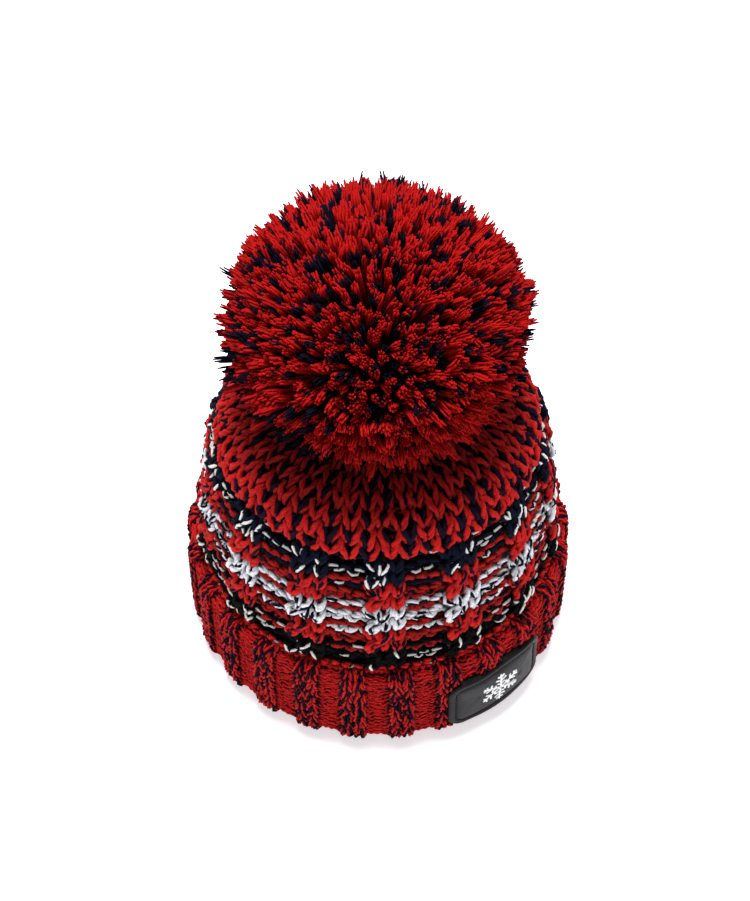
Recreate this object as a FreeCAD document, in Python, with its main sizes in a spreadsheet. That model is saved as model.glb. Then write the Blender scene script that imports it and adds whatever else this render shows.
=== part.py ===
"""Pom pom beanie: a cable-knit hat with a turned-up rib cuff, fleece lining and a tied yarn pom.

Frame: +Z up, origin on the table under the middle of the hat, -Y is the front (the patch side).
Every length is in millimetres.
"""

import FreeCAD, Part
import math
import os

import Sketcher

DOC = FreeCAD.newDocument("pom_pom_beanie")

# ---------------------------------------------------------------- driving dimensions

DIMENSIONS = {
    # turned-up rib cuff: two plies of rib knit folded at the rim
    "cuff_radius": 84.0,
    "cuff_height": 50.7,
    "cuff_wall": 6.0,
    "cuff_edge_round": 2.8,
    "fold_round": 5.0,
    "ply_gap": 0.4,
    "slit_floor": 6.0,
    "tuck_height": 48.0,
    # cable-knit body: thickness, then the top of each colour band and its outer radius there
    "knit_wall": 5.6,
    "ridge_top": 53.0,
    "ridge_radius": 77.6,
    "black_top": 65.5,
    "black_radius": 77.3,
    "lower_red_top": 79.0,
    "lower_red_radius": 76.2,
    "white_top": 92.5,
    "white_radius": 74.5,
    "upper_red_top": 107.0,
    "upper_red_radius": 72.3,
    "navy_top": 120.0,
    "navy_radius": 70.0,
    # crown dome, gathered round a small hole
    "crown_top": 146.5,
    "crown_shoulder": 16.0,
    "gather_hole": 6.0,
    "drawstring_ring": 4.6,
    "drawstring_thick": 1.1,
    # fleece lining in four gores
    "lining_gap": 1.0,
    "lining_wall": 2.5,
    "hem_height": 7.0,
    "lining_side_top": 116.0,
    "lining_side_radius": 63.8,
    "lining_top": 133.2,
    "lining_shoulder": 10.0,
    "lining_tip_hole": 2.0,
    "gore_angle": 89.0,
    "seam_angle": 0.6,
    "thread_radius": 0.45,
    "back_seam_clear": 0.2,
    "back_seam_thick": 0.6,
    "back_seam_inset": 1.0,
    # patch sewn on the front of the cuff
    "patch_width": 50.0,
    "patch_bottom": 5.5,
    "patch_tall": 33.0,
    "patch_thick": 1.8,
    "patch_corner": 8.0,
    "stitch_inset": 3.2,
    "stitch_width": 0.9,
    "stitch_proud": 0.35,
    "emblem_size": 20.0,
    "emblem_bar": 1.8,
    "emblem_proud": 0.25,
    "block_margin": 10.0,
    # care tag sewn inside at the back
    "tag_width": 26.0,
    "tag_tall": 32.0,
    "tag_thick": 0.5,
    "tag_top": 54.0,
    "tag_depth": 65.7,
    "tack_size": 1.2,
    "tack_reach": 9.0,
    # pom: a bundle of cut yarn tied round its waist, on a short cord through the crown
    "pom_radius": 62.6,
    "pom_centre": 190.5,
    "tie_height": 167.0,
    "pom_rise": 50.0,
    "pom_drop": 38.0,
    "parting": 2.4,
    "waist_radius": 9.0,
    "tie_ring": 10.2,
    "tie_thick": 1.0,
    "tie_clearance": 0.3,
    "pivot_height": 149.3,
    "base_knot_radius": 4.0,
    "base_knot_half": 2.4,
    "cord_radius": 1.6,
    "cord_bottom": 134.6,
    "cord_top": 146.4,
    "anchor_ring": 3.8,
    "anchor_thick": 2.1,
    "anchor_height": 138.2,
}

SHEET = DOC.addObject("Spreadsheet::Sheet", "dims")
for row, (alias, number) in enumerate(DIMENSIONS.items(), start=1):
    SHEET.set(f"A{row}", alias)
    SHEET.set(f"B{row}", str(number))
    SHEET.setAlias(f"B{row}", alias)
DOC.recompute()


class Size:
    """A length that knows both its number and the sheet formula that drives it."""

    def __init__(self, number, formula):
        self.number = float(number)
        self.formula = formula

    def _with(self, other, symbol, number):
        other_text = other.formula if isinstance(other, Size) else str(other)
        return Size(number, f"({self.formula} {symbol} {other_text})")

    def __add__(self, other):
        return self._with(other, "+", self.number + plain(other))

    def __sub__(self, other):
        return self._with(other, "-", self.number - plain(other))

    def __mul__(self, other):
        return self._with(other, "*", self.number * plain(other))

    def __truediv__(self, other):
        return self._with(other, "/", self.number / plain(other))

    def root(self):
        return Size(math.sqrt(self.number), f"sqrt({self.formula})")


def plain(value):
    return value.number if isinstance(value, Size) else float(value)


def size(alias):
    """The sheet's cell of that name."""
    return Size(float(SHEET.get(alias)), f"dims.{alias}")


# ---------------------------------------------------------------- sketch and body helpers

SIDEWAYS_AXIS = -1
FIRST, LAST = 1, 2


def origin_plane(body, role):
    return next(part for part in body.Origin.OriginFeatures if part.Role == role)


def new_body(label):
    body = DOC.addObject("PartDesign::Body", label)
    body.Label = label
    return body


def new_sketch(body, role="XZ_Plane"):
    sketch = body.newObject("Sketcher::SketchObject", body.Name + "_sketch")
    sketch.AttachmentSupport = [(origin_plane(body, role), "")]
    sketch.MapMode = "FlatFace"
    return sketch


def bind(sketch, constraint, value):
    """Adds a constraint and ties its size to the sheet."""
    index = sketch.addConstraint(constraint)
    sketch.setExpression(f"Constraints[{index}]", value.formula)


def arc_between(start, end, radius, bulge):
    """The short arc from start to end whose middle lies to the right (+1) or left (-1) of the run."""
    run = end - start
    side = FreeCAD.Vector(run.y, -run.x, 0).normalize() * bulge
    half = run.Length / 2
    rise = radius - math.sqrt(max(radius * radius - half * half, 0.0))
    return Part.Arc(start, start + run * 0.5 + side * rise, end)


def outline(sketch, corners):
    """Closes a section through corners (across, up) or (across, up, radius, bulge).

    The optional radius and bulge shape the edge that leaves that corner.
    """
    points = [FreeCAD.Vector(plain(c[0]), plain(c[1]), 0) for c in corners]
    edges = []
    for index, corner in enumerate(corners):
        start, end = points[index], points[(index + 1) % len(points)]
        if len(corner) == 2:
            edges.append(sketch.addGeometry(Part.LineSegment(start, end)))
        else:
            arc = arc_between(start, end, plain(corner[2]), corner[3])
            edges.append(sketch.addGeometry(arc))
    ends = [edge_ends(sketch, edge, point) for edge, point in zip(edges, points)]
    for index, edge in enumerate(edges):
        following = (index + 1) % len(edges)
        joint = (edge, ends[index][1], edges[following], ends[following][0])
        sketch.addConstraint(Sketcher.Constraint("Coincident", *joint))
    for index, corner in enumerate(corners):
        pin_corner(sketch, edges[index], ends[index][0], corner[0], corner[1])
        if len(corner) == 4:
            bind(sketch, Sketcher.Constraint("Radius", edges[index], plain(corner[2])), corner[2])


def edge_ends(sketch, edge, start):
    """Which end number of the edge is at start, then the other one: arcs may run backwards."""
    near = (sketch.getPoint(edge, FIRST) - start).Length < 1e-6
    return (FIRST, LAST) if near else (LAST, FIRST)


def pin_corner(sketch, edge, end, across, up):
    if plain(up) == 0:
        sketch.addConstraint(Sketcher.Constraint("PointOnObject", edge, end, SIDEWAYS_AXIS))
    else:
        bind(sketch, Sketcher.Constraint("DistanceY", -1, 1, edge, end, plain(up)), up)
    bind(sketch, Sketcher.Constraint("DistanceX", -1, 1, edge, end, plain(across)), across)


def revolve(body, sketch, angle=None):
    """Turns the section round Z: a full turn, or a sector centred on the sketch's plane."""
    turn = body.newObject("PartDesign::Revolution", body.Name + "_turn")
    turn.Profile = sketch
    turn.ReferenceAxis = (sketch, ["V_Axis"])
    turn.Angle = 360.0
    if angle is not None:
        turn.Angle = plain(angle)
        turn.setExpression("Angle", angle.formula)
        turn.Midplane = True
    sketch.Visibility = False
    return turn


def turned(label, corners, angle=None, heading=0.0):
    """A body turned from one section. A sector is centred on +X and then headed about Z."""
    body = new_body(label)
    sketch = new_sketch(body)
    outline(sketch, corners)
    revolve(body, sketch, angle)
    body.Placement = FreeCAD.Placement(
        FreeCAD.Vector(0, 0, 0), FreeCAD.Rotation(FreeCAD.Vector(0, 0, 1), heading)
    )
    return body


def primitive(kind, label, sizes, place=None):
    """A Part primitive whose properties are bound to the sheet."""
    solid = DOC.addObject(kind, label)
    solid.Label = label
    for name, value in sizes.items():
        setattr(solid, name, plain(value))
        solid.setExpression(name, value.formula)
    if place is not None:
        solid.Placement = place
    return solid


def lift(solid, height):
    """Binds the height of a primitive's own origin."""
    solid.setExpression("Placement.Base.z", height.formula)
    return solid


BACK = 90.0            # heading of the back of the hat about Z
GORE_HEADINGS = {
    "lining_gore_right": 0.0,
    "lining_gore_back": 90.0,
    "lining_gore_left": 180.0,
    "lining_gore_front": 270.0,
}
SEAM_HEADINGS = (45.0, 135.0, 225.0, 315.0)
SNOWFLAKE_TILTS = (30.0, 90.0, 150.0)
KNIT = size("knit_wall")
ZERO = 0


# ---------------------------------------------------------------- knitted shell

def build_rib_cuff():
    """Inner ply, fold at the rim and turned-up outer ply, in one U-shaped section."""
    outer, wall, fold = size("cuff_radius"), size("cuff_wall"), size("fold_round")
    edge, top = size("cuff_edge_round"), size("cuff_height")
    ply_inside = outer - wall
    tuck_outside = ply_inside - size("ply_gap")
    inside = tuck_outside - KNIT
    return turned("rib_cuff", [
        (inside, size("tuck_height")),
        (inside, fold, fold, 1),
        (inside + fold, ZERO),
        (outer - fold, ZERO, fold, 1),
        (outer, fold),
        (outer, top - edge, edge, 1),
        (outer - edge, top),
        (ply_inside + edge, top, edge, 1),
        (ply_inside, top - edge),
        (ply_inside, size("slit_floor")),
        (tuck_outside, size("slit_floor")),
        (tuck_outside, size("tuck_height")),
    ])


def build_band(label, low, low_radius, high, high_radius):
    """One colour band of the cable-knit body."""
    return turned(label, [
        (low_radius - KNIT, low),
        (low_radius, low),
        (high_radius, high),
        (high_radius - KNIT, high),
    ])


def dome(side_radius, side_top, apex, shoulder, hole, wall):
    """Section of a dome: a small shoulder arc that runs into one large arc over the top."""
    rise = apex - side_top
    reach = side_radius - shoulder
    sweep = (reach * reach + rise * rise - shoulder * shoulder) / (rise * 2 - shoulder * 2)
    centre = apex - sweep
    share = sweep / (sweep - shoulder)
    drop = side_top - centre
    small_inner, large_inner = shoulder - wall, sweep - wall
    share_in = large_inner / (sweep - shoulder)
    return [
        (side_radius, side_top, shoulder, 1),
        (reach * share, centre + drop * share, sweep, 1),
        (hole, centre + (sweep * sweep - hole * hole).root()),
        (hole, centre + (large_inner * large_inner - hole * hole).root(), large_inner, -1),
        (reach * share_in, centre + drop * share_in, small_inner, -1),
        (side_radius - wall, side_top),
    ]


def build_crown():
    return turned("crown_knit", dome(
        size("navy_radius"), size("navy_top"), size("crown_top"),
        size("crown_shoulder"), size("gather_hole"), KNIT,
    ))


def build_drawstring():
    """The gathering yarn run through the last stitches of the crown."""
    ring = primitive("Part::Torus", "crown_drawstring", {
        "Radius1": size("drawstring_ring"), "Radius2": size("drawstring_thick"),
    })
    return lift(ring, size("crown_top") - KNIT / 2)


def build_back_seam():
    """Seam yarn that closes the knit up the back, between the knit and the lining."""
    low_out = size("ridge_radius") - KNIT - size("back_seam_clear")
    high_out = size("navy_radius") - KNIT - size("back_seam_clear")
    foot = size("hem_height") + size("back_seam_inset")
    head = size("navy_top") - size("back_seam_inset")
    thick = size("back_seam_thick")
    return turned("back_seam_yarn", [
        (low_out - thick, foot),
        (low_out, foot),
        (low_out, size("tuck_height")),
        (high_out, head),
        (high_out - thick, head),
        (low_out - thick, size("tuck_height")),
    ], size("seam_angle") * 2, BACK)


# ---------------------------------------------------------------- fleece lining

def lining_section():
    foot = size("ridge_radius") - KNIT - size("lining_gap")
    wall = size("lining_wall")
    top = dome(
        size("lining_side_radius"), size("lining_side_top"), size("lining_top"),
        size("lining_shoulder"), size("lining_tip_hole"), wall,
    )
    return top + [
        (foot - wall, size("tuck_height")),
        (foot - wall, size("hem_height")),
        (foot, size("hem_height")),
        (foot, size("tuck_height")),
    ]


def build_lining():
    """Four gores that meet at the tip, with a seam between each pair."""
    gores = [
        turned(name, lining_section(), size("gore_angle"), heading)
        for name, heading in GORE_HEADINGS.items()
    ]
    seams = [
        turned(f"lining_seam_{number}", lining_section(), size("seam_angle"), heading)
        for number, heading in enumerate(SEAM_HEADINGS, start=1)
    ]
    threads = DOC.addObject("Part::Compound", "lining_seam_thread")
    threads.Label = "lining_seam_thread"
    threads.Links = seams
    hem = primitive("Part::Torus", "lining_hem_thread", {
        "Radius1": size("ridge_radius") - KNIT - size("lining_gap") + size("thread_radius"),
        "Radius2": size("thread_radius"),
    })
    lift(hem, size("hem_height") - size("thread_radius") * 2)
    return gores + [threads, hem]


# ---------------------------------------------------------------- patch on the cuff

def rounded_rectangle(sketch, half_width, low, high, corner):
    """A rounded rectangle about the sketch's upright axis, drawn anticlockwise.

    Distances left of the axis are negative, so their constraints run from the point to the origin.
    """
    xs, zs = plain(half_width), (plain(low), plain(high))
    r = plain(corner)
    vec = FreeCAD.Vector
    centres = [(xs - r, zs[0] + r), (xs - r, zs[1] - r), (r - xs, zs[1] - r), (r - xs, zs[0] + r)]
    arcs = []
    for index, (x, z) in enumerate(centres):
        begin = math.pi * (index / 2 - 0.5)
        circle = Part.Circle(vec(x, z, 0), vec(0, 0, 1), r)
        arcs.append(sketch.addGeometry(Part.ArcOfCircle(circle, begin, begin + math.pi / 2)))
    lines = []
    for index, arc in enumerate(arcs):
        following = arcs[(index + 1) % 4]
        ends = sketch.getPoint(arc, LAST), sketch.getPoint(following, FIRST)
        line = sketch.addGeometry(Part.LineSegment(*ends))
        sketch.addConstraint(Sketcher.Constraint("Tangent", arc, LAST, line, FIRST))
        sketch.addConstraint(Sketcher.Constraint("Tangent", line, LAST, following, FIRST))
        lines.append(line)
    right, top, left, bottom = lines
    for upright in (right, left):
        sketch.addConstraint(Sketcher.Constraint("Vertical", upright))
    for level in (top, bottom):
        sketch.addConstraint(Sketcher.Constraint("Horizontal", level))
    for arc in arcs[1:]:
        sketch.addConstraint(Sketcher.Constraint("Equal", arcs[0], arc))
    bind(sketch, Sketcher.Constraint("Radius", arcs[0], r), corner)
    bind(sketch, Sketcher.Constraint("DistanceX", -1, 1, right, FIRST, xs), half_width)
    bind(sketch, Sketcher.Constraint("DistanceX", left, FIRST, -1, 1, xs), half_width)
    bind(sketch, Sketcher.Constraint("DistanceY", -1, 1, bottom, FIRST, zs[0]), low)
    bind(sketch, Sketcher.Constraint("DistanceY", -1, 1, top, FIRST, zs[1]), high)


def front_block(label, draw):
    """A block that stands out to the front (-Y) from a section drawn on the XZ plane."""
    body = new_body(label)
    sketch = new_sketch(body)
    draw(sketch)
    pad = body.newObject("PartDesign::Pad", label + "_pad")
    pad.Profile = sketch
    pad.setExpression("Length", (size("cuff_radius") + size("block_margin")).formula)
    sketch.Visibility = False
    return body


def shell(label, inside, thick):
    """A thin tube round Z, as tall as the cuff."""
    core = primitive("Part::Cylinder", label + "_core", {
        "Radius": inside, "Height": size("cuff_height"),
    })
    skin = primitive("Part::Cylinder", label + "_skin", {
        "Radius": inside + thick, "Height": size("cuff_height"),
    })
    tube = DOC.addObject("Part::Cut", label + "_tube")
    tube.Base, tube.Tool = skin, core
    return tube


def wrap(label, block, inside, thick):
    """The part of a front block that lies in a thin shell, so it curves round the cuff."""
    piece = DOC.addObject("Part::Common", label)
    piece.Label = label
    piece.Base, piece.Tool = shell(label, inside, thick), block
    return piece


def build_patch():
    half, low = size("patch_width") / 2, size("patch_bottom")
    high, corner = low + size("patch_tall"), size("patch_corner")
    face = size("cuff_radius") + size("patch_thick")

    base = wrap(
        "patch_base",
        front_block("patch_block", lambda sketch: rounded_rectangle(sketch, half, low, high, corner)),
        size("cuff_radius"), size("patch_thick"),
    )

    def stitch_line(sketch):
        for inset in (size("stitch_inset"), size("stitch_inset") + size("stitch_width")):
            rounded_rectangle(sketch, half - inset, low + inset, high - inset, corner - inset)

    stitching = wrap(
        "patch_stitching", front_block("stitch_block", stitch_line), face, size("stitch_proud")
    )
    return [base, stitching, build_emblem(face, low + size("patch_tall") / 2)]


def build_emblem(face, middle):
    """A generic six-armed snowflake printed on the patch."""
    bars = []
    for number, tilt in enumerate(SNOWFLAKE_TILTS, start=1):
        bar = primitive("Part::Box", f"snowflake_bar_{number}", {
            "Length": size("emblem_size"),
            "Width": size("cuff_radius") + size("block_margin"),
            "Height": size("emblem_bar"),
        })
        swing = FreeCAD.Rotation(FreeCAD.Vector(0, 1, 0), tilt)
        centre = FreeCAD.Vector(0, -bar.Width.Value, plain(middle))
        corner = swing.multVec(FreeCAD.Vector(-bar.Length.Value / 2, 0, -bar.Height.Value / 2))
        bar.Placement = FreeCAD.Placement(centre + corner, swing)
        bars.append(bar)
    star = DOC.addObject("Part::MultiFuse", "snowflake_bars")
    star.Shapes = bars
    return wrap("patch_emblem", star, face, size("emblem_proud"))


# ---------------------------------------------------------------- care tag

def build_care_tag():
    body = new_body("care_tag")
    sketch = new_sketch(body)
    top = size("tag_top")
    rounded_rectangle(sketch, size("tag_width") / 2, top - size("tag_tall"), top, size("tack_size"))
    pad = body.newObject("PartDesign::Pad", "care_tag_pad")
    pad.Profile = sketch
    pad.setExpression("Length", size("tag_thick").formula)
    sketch.Visibility = False
    body.Placement.Base.y = plain(size("tag_depth"))
    body.setExpression("Placement.Base.y", size("tag_depth").formula)
    tacks = []
    for index, side in enumerate((-1, 1)):
        tack = primitive("Part::Box", f"care_tag_tack_{index + 1}", {
            "Length": size("tack_size"), "Width": size("tack_size"), "Height": size("tack_size"),
        })
        across = size("tack_reach") * side - size("tack_size") / 2
        tack.setExpression("Placement.Base.x", across.formula)
        tack.setExpression("Placement.Base.y", (size("tag_depth") + size("tie_clearance")).formula)
        tack.setExpression("Placement.Base.z", (top - size("tack_size")).formula)
        tacks.append(tack)
    stitches = DOC.addObject("Part::Compound", "care_tag_stitches")
    stitches.Label = "care_tag_stitches"
    stitches.Links = tacks
    return [body, stitches]


# ---------------------------------------------------------------- pom and its tie

def spheroid_half(label, height, low_angle, high_angle):
    half = primitive("Part::Ellipsoid", label, {
        "Radius1": height, "Radius2": size("pom_radius"), "Radius3": size("pom_radius"),
    })
    half.Angle1, half.Angle2, half.Angle3 = low_angle, high_angle, 360.0
    return lift(half, size("pom_centre"))


def build_pom():
    """The yarn bundle: a flattened ball, parted where the tie sinks in to its waist."""
    ball = DOC.addObject("Part::Fuse", "pom_ball")
    ball.Base = spheroid_half("pom_upper", size("pom_rise"), 0.0, 90.0)
    ball.Tool = spheroid_half("pom_lower", size("pom_drop"), -90.0, 0.0)

    sideways = FreeCAD.Rotation(FreeCAD.Vector(0, 1, 0), 90.0)
    start = FreeCAD.Vector(-plain(size("parting")) / 2, 0, 0)
    disc = primitive("Part::Cylinder", "parting_disc", {
        "Radius": size("pom_radius") * 2, "Height": size("parting"),
    }, FreeCAD.Placement(start, sideways))
    waist = primitive("Part::Cylinder", "parting_waist", {
        "Radius": size("waist_radius"), "Height": size("parting"),
    }, FreeCAD.Placement(start, sideways))
    for piece in (disc, waist):
        lift(piece, size("tie_height"))
    ring = DOC.addObject("Part::Cut", "parting_ring")
    ring.Base, ring.Tool = disc, waist

    bundle = DOC.addObject("Part::Cut", "pom_yarn_bundle")
    bundle.Label = "pom_yarn_bundle"
    bundle.Base, bundle.Tool = ball, ring

    band = primitive("Part::Torus", "pom_tie_band", {
        "Radius1": size("tie_ring"), "Radius2": size("tie_thick"),
    }, FreeCAD.Placement(FreeCAD.Vector(0, 0, 0), sideways))
    lift(band, size("tie_height"))
    return [bundle, band]


def build_pom_cord():
    """Tie tails, the knot under the pom, the cord through the crown and the knot inside."""
    knot_top = size("pivot_height") + size("base_knot_half")
    tails_bottom = knot_top + size("tie_clearance")
    band_bottom = size("tie_height") - size("tie_ring") - size("tie_thick")
    tails = primitive("Part::Cylinder", "pom_tie_tails", {
        "Radius": size("tie_thick"), "Height": band_bottom - size("tie_clearance") - tails_bottom,
    })
    lift(tails, tails_bottom)

    knot = primitive("Part::Ellipsoid", "pom_base_knot", {
        "Radius1": size("base_knot_half"),
        "Radius2": size("base_knot_radius"),
        "Radius3": size("base_knot_radius"),
    })
    knot.Angle1, knot.Angle2, knot.Angle3 = -90.0, 90.0, 360.0
    lift(knot, size("pivot_height"))

    cord = primitive("Part::Cylinder", "pom_anchor_cord", {
        "Radius": size("cord_radius"), "Height": size("cord_top") - size("cord_bottom"),
    })
    lift(cord, size("cord_bottom"))

    anchor = primitive("Part::Torus", "anchor_knot", {
        "Radius1": size("anchor_ring"), "Radius2": size("anchor_thick"),
    })
    lift(anchor, size("anchor_height"))
    return [tails, knot, cord, anchor]


# ---------------------------------------------------------------- build, check, write

def build_knit():
    bands = [("base_red_band", "tuck_height", "ridge_radius", "ridge_top", "ridge_radius")]
    order = ("ridge", "black", "lower_red", "white", "upper_red", "navy")
    labels = ("black_stripe", "lower_red_band", "white_stripe", "upper_red_band", "navy_stripe")
    for label, below, above in zip(labels, order, order[1:]):
        bands.append((label, below + "_top", below + "_radius", above + "_top", above + "_radius"))
    return [build_band(band[0], *(size(alias) for alias in band[1:])) for band in bands]


def faults(nodes):
    """Objects left in error, and nodes whose shape is missing or broken."""
    found = [
        f"{thing.Name}: {state}"
        for thing in DOC.Objects
        for state in thing.State
        if state in ("Invalid", "Error")
    ]
    for node in nodes:
        if node.Shape.isNull() or not node.Shape.isValid() or not node.Shape.Solids:
            found.append(f"{node.Label}: no valid solid")
    return found


def main():
    nodes = [build_rib_cuff()] + build_knit() + [build_crown(), build_drawstring(), build_back_seam()]
    nodes += build_lining() + build_patch() + build_care_tag() + build_pom() + build_pom_cord()
    DOC.recompute()
    problems = faults(nodes)
    if problems:
        raise SystemExit("\n".join(problems))
    os.makedirs("parts", exist_ok=True)
    for node in nodes:
        box = node.Shape.BoundBox
        print(
            f"{node.Label:22s} solids {len(node.Shape.Solids)} volume {node.Shape.Volume:10.1f}"
            f"  z {box.ZMin:7.2f} to {box.ZMax:7.2f}"
        )
        node.Shape.exportStep(os.path.join("parts", node.Label + ".step"))


main()
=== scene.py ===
"""Pom pom beanie: yarn-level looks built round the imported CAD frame. Lengths are in metres."""

import math

import bpy
import numpy as np
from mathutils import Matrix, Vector


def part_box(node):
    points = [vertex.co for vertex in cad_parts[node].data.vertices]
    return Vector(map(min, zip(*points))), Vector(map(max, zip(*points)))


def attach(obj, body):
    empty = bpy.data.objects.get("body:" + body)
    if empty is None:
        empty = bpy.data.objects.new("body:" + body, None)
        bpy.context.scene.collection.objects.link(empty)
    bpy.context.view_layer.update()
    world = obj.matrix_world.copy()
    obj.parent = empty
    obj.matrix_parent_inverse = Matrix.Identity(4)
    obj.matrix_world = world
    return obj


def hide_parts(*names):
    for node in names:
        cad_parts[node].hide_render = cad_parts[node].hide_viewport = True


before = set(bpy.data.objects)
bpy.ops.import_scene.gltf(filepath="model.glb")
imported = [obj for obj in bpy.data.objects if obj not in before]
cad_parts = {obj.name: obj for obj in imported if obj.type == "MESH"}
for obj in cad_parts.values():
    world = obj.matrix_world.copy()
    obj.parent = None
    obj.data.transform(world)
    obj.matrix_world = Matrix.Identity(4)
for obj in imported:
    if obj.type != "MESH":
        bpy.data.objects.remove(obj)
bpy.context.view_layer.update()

MM = 0.001
TAU = 2 * math.pi
SEED = 319
RNG = np.random.default_rng(SEED)
SCENE = bpy.context.scene

# ---- sizes read from the frame

CUFF_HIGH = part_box("rib_cuff")[1]
CUFF_RADIUS, CUFF_TOP = CUFF_HIGH.x, CUFF_HIGH.z
BANDS = ("base_red_band", "black_stripe", "lower_red_band", "white_stripe", "upper_red_band",
         "navy_stripe", "crown_knit")
BAND_RADIUS = [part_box(name)[1].x for name in BANDS]
BAND_FOOT = [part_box(name)[0].z for name in BANDS]
CROWN_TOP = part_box("crown_knit")[1].z
POM_LOW, POM_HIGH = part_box("pom_yarn_bundle")
TIE_LOW, TIE_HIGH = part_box("pom_tie_band")
TIE_HEIGHT = (TIE_LOW.z + TIE_HIGH.z) / 2

CAMERA_AZIMUTH, CAMERA_ELEVATION = -38.0, 53.6  # degrees round from the hat's front, and up
CAMERA_DISTANCE, CAMERA_AIM = 1.0, 0.1  # from the point it looks at, and that point's height
CAMERA_LENS = 93.7
CAMERA_SHIFT = (-0.0033, 0.0039)
TOWARDS_CAMERA = math.radians(CAMERA_AZIMUTH - 90.0)

# ---- yarn tubes

BACK_LIGHT = 0.22  # painted shade: how lit a strand is painted on the side that is turned into the fabric
LIT_SLOPE, LIT_BASE = 0.7, 0.45  # how fast that changes round the strand
PLY_REACH, PLY_RADIUS = 0.4, 0.7  # of a twisted strand's plies, as shares of the strand's radius


def unit(vectors):
    return vectors / np.maximum(np.linalg.norm(vectors, axis=-1, keepdims=True), 1e-12)


def frames(paths, outward, closed):
    """Outward and sideways unit vectors at every point of a stack of paths (strand, point, 3)."""
    ahead = np.roll(paths, -1, axis=1) - np.roll(paths, 1, axis=1) if closed else np.gradient(paths, axis=1)
    tangent = unit(ahead)
    out = unit(outward - (outward * tangent).sum(-1, keepdims=True) * tangent)
    return out, np.cross(tangent, out)


def heading(angle):
    """Level unit vectors that point this far round the hat."""
    return np.stack([np.cos(angle), np.sin(angle), 0 * angle], -1)


def run_length(paths):
    steps = np.linalg.norm(np.diff(paths, axis=1), axis=-1)
    return np.concatenate([np.zeros((len(paths), 1)), np.cumsum(steps, axis=1)], axis=1)


def orbit(paths, outward, angle, reach, closed):
    """Paths that wind round the given ones at a distance reach, at the given angles."""
    out, side = frames(paths, outward, closed)
    angle, reach = np.asarray(angle)[..., None], np.asarray(reach)[..., None]
    return paths + reach * (np.cos(angle) * out + np.sin(angle) * side)


def numbered(points):
    """The vertex numbers of a grid of points (..., 3)."""
    return np.arange(points[..., 0].size).reshape(points.shape[:-1])


def wrap(grid, axis):
    """Repeats the first row of a closed grid after the last."""
    return np.concatenate([grid, grid.take([0], axis)], axis)


def skin(grid):
    """The values at the corners of the quads between neighbours in a grid, or a stack of grids."""
    corners = grid[..., :-1, :-1], grid[..., :-1, 1:], grid[..., 1:, 1:], grid[..., 1:, :-1]
    return np.stack(corners, -1).reshape(-1, 4)


def sweep(paths, outward, radius, sides, closed, depth=1.0, dark=BACK_LIGHT):
    """Round tubes along a stack of paths.

    Gives points, how lit each point is painted (painted shade: depth in front, down to dark
    times that at the back), faces, a (length, around) pair per corner, and the faces that cap open ends.
    """
    strands, points, _ = paths.shape
    out, side = frames(paths, outward, closed)
    radius = np.broadcast_to(radius, (strands, points))[..., None, None]
    turn = np.arange(sides) * TAU / sides
    ring = np.cos(turn)[:, None] * out[:, :, None] + np.sin(turn)[:, None] * side[:, :, None]
    verts = paths[:, :, None] + radius * ring
    # painted shade: each strand is painted darker on its side turned away from outward
    facing = ((ring * outward[:, :, None]).sum(-1) * LIT_SLOPE + LIT_BASE).clip(0, 1)
    shade = (dark + (1 - dark) * facing) * np.broadcast_to(depth, (strands, points))[..., None]

    index = numbered(verts)
    caps = [] if closed else [index[:, 0, ::-1], index[:, -1]]
    index = wrap(wrap(index, 1) if closed else index, 2)
    length = run_length(wrap(paths, 1) if closed else paths) + RNG.uniform(0, 10, (strands, 1))
    u, v = (skin(np.broadcast_to(x, index.shape)) for x in (length[..., None] / MM,
                                                            np.arange(sides + 1) / sides))
    return verts.reshape(-1, 3), shade.ravel(), skin(index), np.stack([u, v], -1).reshape(-1, 2), caps


def add_object(name, data):
    made = bpy.data.objects.new(name, data)
    SCENE.collection.objects.link(made)
    return made


def mesh_piece(name, material, verts, shade, quads, uv=None, caps=()):
    """One smooth object from arrays, with how lit it is painted (its painted shade) and, for tubes, the map
    of its yarn.
    """
    cap_faces = np.concatenate(caps) if len(caps) else np.zeros((0, 3), int)
    mesh = bpy.data.meshes.new(name)
    mesh.vertices.add(len(verts))
    mesh.vertices.foreach_set("co", verts.astype(np.float32).ravel())
    loops = np.concatenate([quads.ravel(), cap_faces.ravel()]).astype(np.int32)
    starts = np.concatenate([np.arange(len(quads)) * 4,
                             len(quads) * 4 + np.arange(len(cap_faces)) * cap_faces.shape[1]])
    mesh.loops.add(len(loops))
    mesh.loops.foreach_set("vertex_index", loops)
    mesh.polygons.add(len(starts))
    mesh.polygons.foreach_set("loop_start", starts.astype(np.int32))
    mesh.update(calc_edges=True)
    mesh.polygons.foreach_set("use_smooth", np.ones(len(starts), bool))
    if uv is not None:
        flat = np.concatenate([uv, np.zeros((cap_faces.size, 2))]).astype(np.float32)
        mesh.uv_layers.new(name="yarn").data.foreach_set("uv", flat.ravel())
    lit = mesh.attributes.new("shade", "FLOAT", "POINT")
    lit.data.foreach_set("value", shade.astype(np.float32))
    mesh.materials.append(material)
    return add_object(name, mesh)


def stand_in(piece, body, node_name):
    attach(piece, body)
    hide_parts(node_name)


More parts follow.
